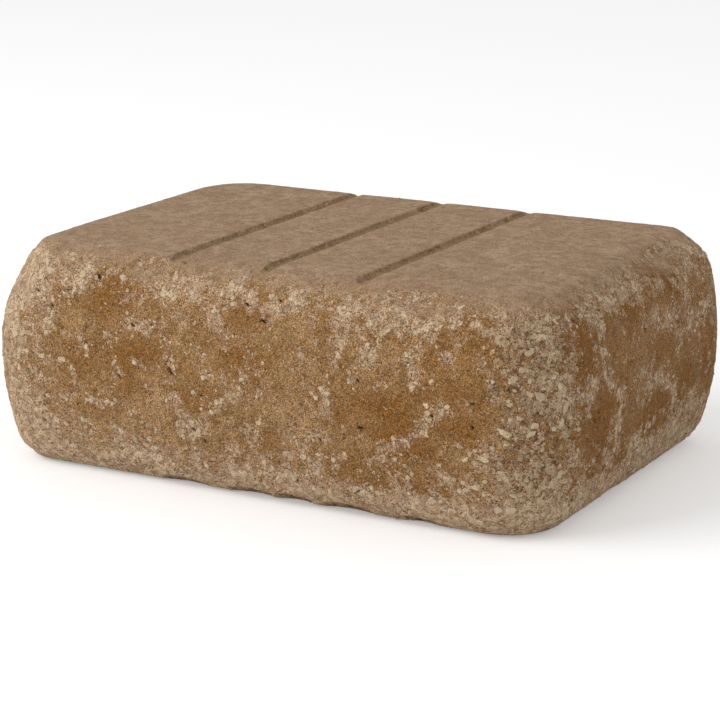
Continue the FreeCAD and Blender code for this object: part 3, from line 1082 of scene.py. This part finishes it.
def bare_concrete(g, s):
    """Worn concrete, pale on the shoulders and sandy at the worn corner."""
    bare = g.mottled(s.middle, "bare")
    bare = g.coat(bare, g.times(s.shoulder, SHARES["shoulder"]), "bare_shoulder")
    return g.blend(g.times(s.corner, SHARES["corner"]), bare, g.mottled(s.middle, "bare_corner"))


def skin_film(g, s):
    """1 where the skin still covers the concrete, 0 where it is worn through."""
    soft = g.plus(s.skin, g.ramp(s.middle, "middle_push"))
    fine = g.times(g.ramp(s.fine, "fine_push"), SHARES["fine_push"])
    return g.step(g.plus(soft, fine), "film")


def flakes(g, where, skin, kind):
    """Round flakes that grow where the skin is thin: mask, random number and a ring of painted shadow round
    the flake.
    """
    distance, luck, pick, _ = g.cells(where, FLAKE_CELLS[kind])
    width = g.ramp(g.plus(skin, g.ramp(luck, kind + "_luck")), kind + "_width")
    edge = g.calc("SUBTRACT", distance, width)
    return g.step(edge, "inside"), pick, g.step(edge, "beside")


def paint_flakes(g, s, colour):
    """Pale flakes and crumbs with dark rims of painted shadow; the flakes' mask is kept."""
    s.flake, flake_pick, flake_painted_shadow = flakes(g, s.loose, s.skin, "flake")
    crumb, crumb_pick, crumb_painted_shadow = flakes(g, s.ragged, s.skin, "crumb")
    # painted shadow: a dark ring round each flake and crumb
    rims = g.calc("MAXIMUM", g.times(crumb_painted_shadow, SHARES["crumb_rims"]), flake_painted_shadow)
    colour = g.coat(colour, g.times(rims, SHARES["rims"]), "flake_painted_shadow")
    for kind, mask, pick in (("crumb", crumb, crumb_pick), ("flake", s.flake, flake_pick)):
        share = g.times(mask, g.ramp(s.corner, kind + "_corner"))
        colour = g.blend(share, colour, g.mottled(pick, kind))
    return colour


def flecks(g, where, kind):
    """Angular grains: their mask, and two random numbers of each."""
    size, share = GRAIN_CELLS[kind]
    _, luck, pick, tint = g.cells(where, size)
    return g.calc("LESS_THAN", luck, share), pick, tint


def paint_grains(g, s, colour, film):
    """Pale grains, pebbles and dark spots; their masks are kept."""
    s.small, small_pick, s.small_tint = flecks(g, s.ragged, "small")
    s.large, _, large_tint = flecks(g, s.ragged, "large")
    s.dark, dark_pick, _ = flecks(g, s.ragged, "dark")
    pebbles = g.calc("MAXIMUM", g.ramp(film, "pebble_film"), g.times(s.stony, SHARES["pebbles"]))
    for mask, share, tint, name in (
        (s.small, g.ramp(film, "grain_film"), small_pick, "grain"),
        (s.large, pebbles, large_tint, "pebble"),
        (s.dark, SHARES["spots"], dark_pick, "spot"),
    ):
        colour = g.blend(g.times(mask, share), colour, g.blend(tint, *tones(name)))
    return colour


def block_top(g, s):
    top = g.mottled(s.broad, "top")
    top = g.blend(g.step(s.middle, "top_dark"), *tones("top_dark"), top)
    top = g.coat(top, g.times(s.small, SHARES["top_grain"]), "top_grain")
    return g.coat(top, g.times(s.dark, SHARES["top_spot"]), "top_spot")


def sand_over(g, s, colour):
    """Sand grain, weaker on the top and on flakes."""
    _, _, sand, _ = g.cells(s.where, SAND_CELL)
    grit = g.ramp(s.grit, "grit")
    share = g.times(g.ramp(s.crown, "calm_top"), g.ramp(s.flake, "calm_flake"))
    for grain, shades in ((grit, GRIT_SHADES), (sand, SAND_SHADES), (s.small_tint, CELL_SHADES)):
        colour = g.blend(share, colour, g.blend(grain, *shades), "MULTIPLY")
    return colour


def fine_relief(g, s):
    height = g.times(s.grit, RISES["grit"])
    for name in ("fine", "dark", "large", "flake"):
        height = g.plus(height, g.times(vars(s)[name], RISES[name]))
    return height


def concrete_material():
    material, g = new_material("tumbled_concrete")
    s = concrete_inputs(g)
    film = skin_film(g, s)
    colour = g.blend(film, bare_concrete(g, s), ochre_skin(g, s))
    colour = paint_flakes(g, s, colour)
    colour = paint_grains(g, s, colour, film)
    colour = g.blend(s.crown, colour, block_top(g, s))
    # the grooves turn a darker olive: partly dirt, partly painted shade
    colour = g.blend(g.times(s.groove, SHARES["groove"]), colour, g.mottled(s.middle, "groove"))
    colour = sand_over(g, s, colour)
    # painted shade: the insides of the holes are coloured dark brown
    hole = g.step(g.attribute("pit"), "hole")
    colour = g.coat(colour, g.times(hole, SHARES["hole"]), "hole")
    g.end(colour, g.ramp(s.middle, "roughness"), fine_relief(g, s), CONCRETE_FINISH)
    return material


def stones_material():
    material, g = new_material("exposed_stone")
    where = g.place()
    tint = g.attribute("tint")
    middle = g.noise(where, *STONE_MOTTLE)
    grit = g.noise(where, *STONE_GRIT)
    colour = g.mottled(tint, "stone")
    colour = g.coat(colour, g.step(tint, "stone_dark"), "stone_dark")
    colour = g.coat(colour, g.step(middle, "stone_stain"), "stone_stain")
    shade = g.blend(g.ramp(grit, "stone_grit"), *STONE_SHADES)
    colour = g.blend(1.0, colour, shade, "MULTIPLY")
    g.end(colour, g.ramp(middle, "stone_roughness"), g.plus(middle, grit), STONE_FINISH)
    return material


class StoneBed:
    """Collects the stones as one mesh of closed, sunk, many-sided flakes."""

    def __init__(self, dice):
        self.dice = dice
        self.points = []
        self.faces = []
        self.tints = []

    def lay(self, place, normal, along, length, width, tint):
        """Adds one stone at a place in metres, with its sizes in millimetres."""
        dice = self.dice
        sides = int(dice.integers(*STONE_SIDES))
        across = normal.cross(along).normalized()
        along = across.cross(normal).normalized()
        turns = (np.arange(sides) + dice.uniform(-STONE_SKEW, STONE_SKEW, sides)) * (2 * math.pi / sides)
        reach = dice.uniform(*STONE_REACH, sides)
        first = len(self.points)
        rise = STONE_RISE * MM * dice.uniform(*STONE_HEIGHT)
        slant = dice.uniform(*STONE_SLANT)
        rings = ((-STONE_SINK * MM, STONE_FOOT), (-STONE_WAIST * MM, 1.0), (rise, slant))
        for height, shrink in rings:
            for turn, far in zip(turns, reach):
                u = math.cos(turn) * far * shrink * (length * MM) / 2
                v = math.sin(turn) * far * shrink * (width * MM) / 2
                self.points.append(place + along * u + across * v + normal * height)
        self.close(first, sides, len(rings))
        self.tints.extend([tint] * (len(rings) * sides))

    def close(self, first, sides, rings):
        """The faces round the stone, its foot and its top."""
        for ring in range(rings - 1):
            for side in range(sides):
                a = first + ring * sides + side
                b = first + ring * sides + (side + 1) % sides
                self.faces.append((a, b, b + sides, a + sides))
        self.faces.append(tuple(first + side for side in reversed(range(sides))))
        self.faces.append(tuple(first + (rings - 1) * sides + side for side in range(sides)))

    def clipped(self):
        """The points, kept a hair inside the block's own box."""
        low, high = (LOW_CORNER + BOX_MARGIN) * MM, (HIGH_CORNER - BOX_MARGIN) * MM
        return np.clip(np.array(self.points), low, high)

    def lay_turned(self, place, normal, length, width, tint):
        self.lay(place, normal, along_any(normal, self.dice), length, width, tint)


def along_vein(path, dice):
    """Places scattered along a vein's line, in millimetres on its side."""
    for start, end in zip(path, path[1:]):
        run = math.dist(start, end)
        for index in range(int(run / FLAKE_STEP) + 1):
            if dice.uniform() < FLAKE_SHARE:
                share = (index + dice.uniform()) * FLAKE_STEP / run
                yield [a + (b - a) * share for a, b in zip(start, end)]


def mostly_short(dice, size, limits):
    return float(np.clip(dice.lognormal(*size), *limits))


def stone_length(dice):
    return mostly_short(dice, STONE_SIZE, STONE_LIMITS)


def crumb_length(dice):
    return dice.uniform(*CRUMB_LENGTH)


def lay_seen(bed, block):
    """The stones that stand out in the photograph."""
    for column, row, length, width, turn in SEEN_STONES:
        place, _, face, _ = block.tree.ray_cast(EYE, camera_ray(column, row))
        if place is not None:
            normal = block.normal_of(face)
            bed.lay(place, normal, along_picture(normal, turn), length, width, bed.dice.uniform(*SEEN_TINT))


def lay_flakes(bed, block):
    """Pale flakes along the veins of all four sides."""
    dice = bed.dice
    out_x, out_y = HALF_LENGTH + RAY_START, HALF_DEPTH + RAY_START
    sides = (
        (FRONT_VEINS, lambda run, up: (run, -out_y, up), (0, 1, 0)),
        (BACK_VEINS, lambda run, up: (run, out_y, up), (0, -1, 0)),
        (RIGHT_VEINS + RIGHT_VEINS, lambda run, up: (out_x, run, up), (-1, 0, 0)),
        (LEFT_VEINS, lambda run, up: (-out_x, run, up), (1, 0, 0)),
    )
    for veins, outside, inward in sides:
        for width, path in veins:
            for run, up in along_vein(path, dice):
                run += dice.normal(0, width * FLAKE_SCATTER)
                up += dice.normal(0, width * FLAKE_SCATTER)
                start = Vector(outside(run, up)) * MM
                place, _, face, _ = block.tree.ray_cast(start, Vector(inward))
                if place is not None:
                    length = mostly_short(dice, FLAKE_SIZE, FLAKE_LIMITS)
                    slim = length * dice.uniform(*FLAKE_SLIMNESS)
                    bed.lay_turned(place, block.normal_of(face), length, slim, dice.uniform(*FLAKE_TINT))


def strew(bed, block, weight, count, draw, slimness, tint):
    """Lays stones at points picked by weight."""
    dice = bed.dice
    for index in picked(dice, weight, count):
        length = draw(dice)
        width = length * dice.uniform(*slimness)
        place, normal = Vector(block.points[index] * MM), Vector(block.normals[index])
        bed.lay_turned(place, normal, length, width, dice.uniform(*tint))


def stone_weight(points, field):
    """Most stones lie in the worn corner and low down."""
    side = 1 - field["crown"]
    weight = field["stony"] ** STONY_POWER * side + STRAY_STONES * (field["skin"] < STRAY_SKIN) * side
    weight *= (1 - field["bed"]) * (1 - SHOULDER_LESS * field["shoulder"])
    return weight * (1 - HIGH_LESS * ease_from(BLOCK_TOP, points[:, 2], HIGH_EDGE))


def crumb_weight(field):
    return field["side"] * (CRUMB_LEAST + ease(-field["skin"], *CRUMB_EDGE))


def dress_stones(mesh, field):
    normals = broad_normals(mesh)
    block = SimpleNamespace(
        points=read_points(mesh),
        normals=normals,
        tree=surface_tree(mesh),
        normal_of=lambda face: Vector(normals[mesh.polygons[face].vertices[0]]),
    )
    bed = StoneBed(default_rng(STONE_SEED))
    lay_seen(bed, block)
    weight = stone_weight(block.points, field)
    strew(bed, block, weight, STONE_COUNT, stone_length, STONE_SLIMNESS, STONE_TINT)
    lay_flakes(bed, block)
    strew(bed, block, crumb_weight(field), CRUMB_COUNT, crumb_length, CRUMB_SLIMNESS, CRUMB_TINT)
    stones_mesh = bpy.data.meshes.new("exposed_aggregate")
    stones_mesh.from_pydata([tuple(point) for point in bed.clipped()], [], bed.faces)
    store(stones_mesh, "tint", bed.tints)
    stones_mesh.materials.append(stones_material())
    stones = put_object("exposed_aggregate", stones_mesh)
    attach(stones, BODY)


def dress_block():
    shell = even_shell()
    shape_shell(shell)
    mesh = thin_shell(shell)
    points, normals = read_points(mesh), broad_normals(mesh)
    holes = hole_list(points, normals, surface_fields(points, normals), surface_tree(mesh))
    refine_around(mesh, holes)
    field = store_fields(mesh)
    store(mesh, "pit", sink_holes(mesh, holes))
    mesh.materials.clear()
    mesh.materials.append(concrete_material())
    mesh.polygons.foreach_set("use_smooth", np.ones(len(mesh.polygons), bool))
    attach(shell, BODY)
    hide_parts(NODE)
    dress_stones(mesh, field)


def floor_material():
    material, g = new_material("pale_floor")
    diffuse = g.add("BsdfDiffuse", {"Color": FLOOR_COLOUR})
    strength = g.times(g.calc("MINIMUM", g.seen_directly(), 1.0), FLOOR_GLOW)
    glow = g.add("Emission", {"Color": WHITE, "Strength": strength})
    both = g.add("AddShader", {0: diffuse.outputs[0], 1: glow.outputs[0]})
    g.add("OutputMaterial", {"Surface": both.outputs[0]})
    return material


def add_floor():
    mesh = bpy.data.meshes.new("floor")
    corners = [(-1, -1), (1, -1), (1, 1), (-1, 1)]
    mesh.from_pydata([(x * FLOOR_HALF, y * FLOOR_HALF, 0) for x, y in corners], [], [(0, 1, 2, 3)])
    mesh.materials.append(floor_material())
    floor = put_object("floor", mesh)
    floor.location.z = -FLOOR_DROP
    floor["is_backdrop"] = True


def add_world():
    world = bpy.data.worlds.new("soft_light")
    world.use_nodes = True
    bpy.context.scene.world = world
    g = Graph(world.node_tree)
    back = g.add("Background", {"Color": WHITE, "Strength": g.ramp(g.seen_directly(), "sky")})
    g.add("OutputWorld", {"Surface": back.outputs[0]})


def add_lamp():
    light = bpy.data.lights.new("key", "AREA")
    light.shape = "SQUARE"
    light.size = LAMP_SIZE
    light.energy = LAMP_POWER
    lamp = put_object("key", light)
    lamp.location = LAMP_PLACE
    heading = Vector(LAMP_TARGET) - Vector(LAMP_PLACE)
    lamp.rotation_euler = heading.to_track_quat("-Z", "Y").to_euler()


def add_camera():
    lens = bpy.data.cameras.new("camera")
    lens.lens = FOCAL_LENGTH
    lens.sensor_width = SENSOR_WIDTH
    camera = put_object("camera", lens)
    camera.location = CAMERA_PLACE
    camera.rotation_euler = (math.pi / 2 - CAMERA_DIP, 0.0, CAMERA_YAW)
    bpy.context.scene.camera = camera


add_camera()
dress_block()
add_floor()
add_world()
add_lamp()
bpy.context.scene.view_settings.view_transform = "Standard"

[[list(map(float, corner)) for corner in box] for box in (cad_box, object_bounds())]
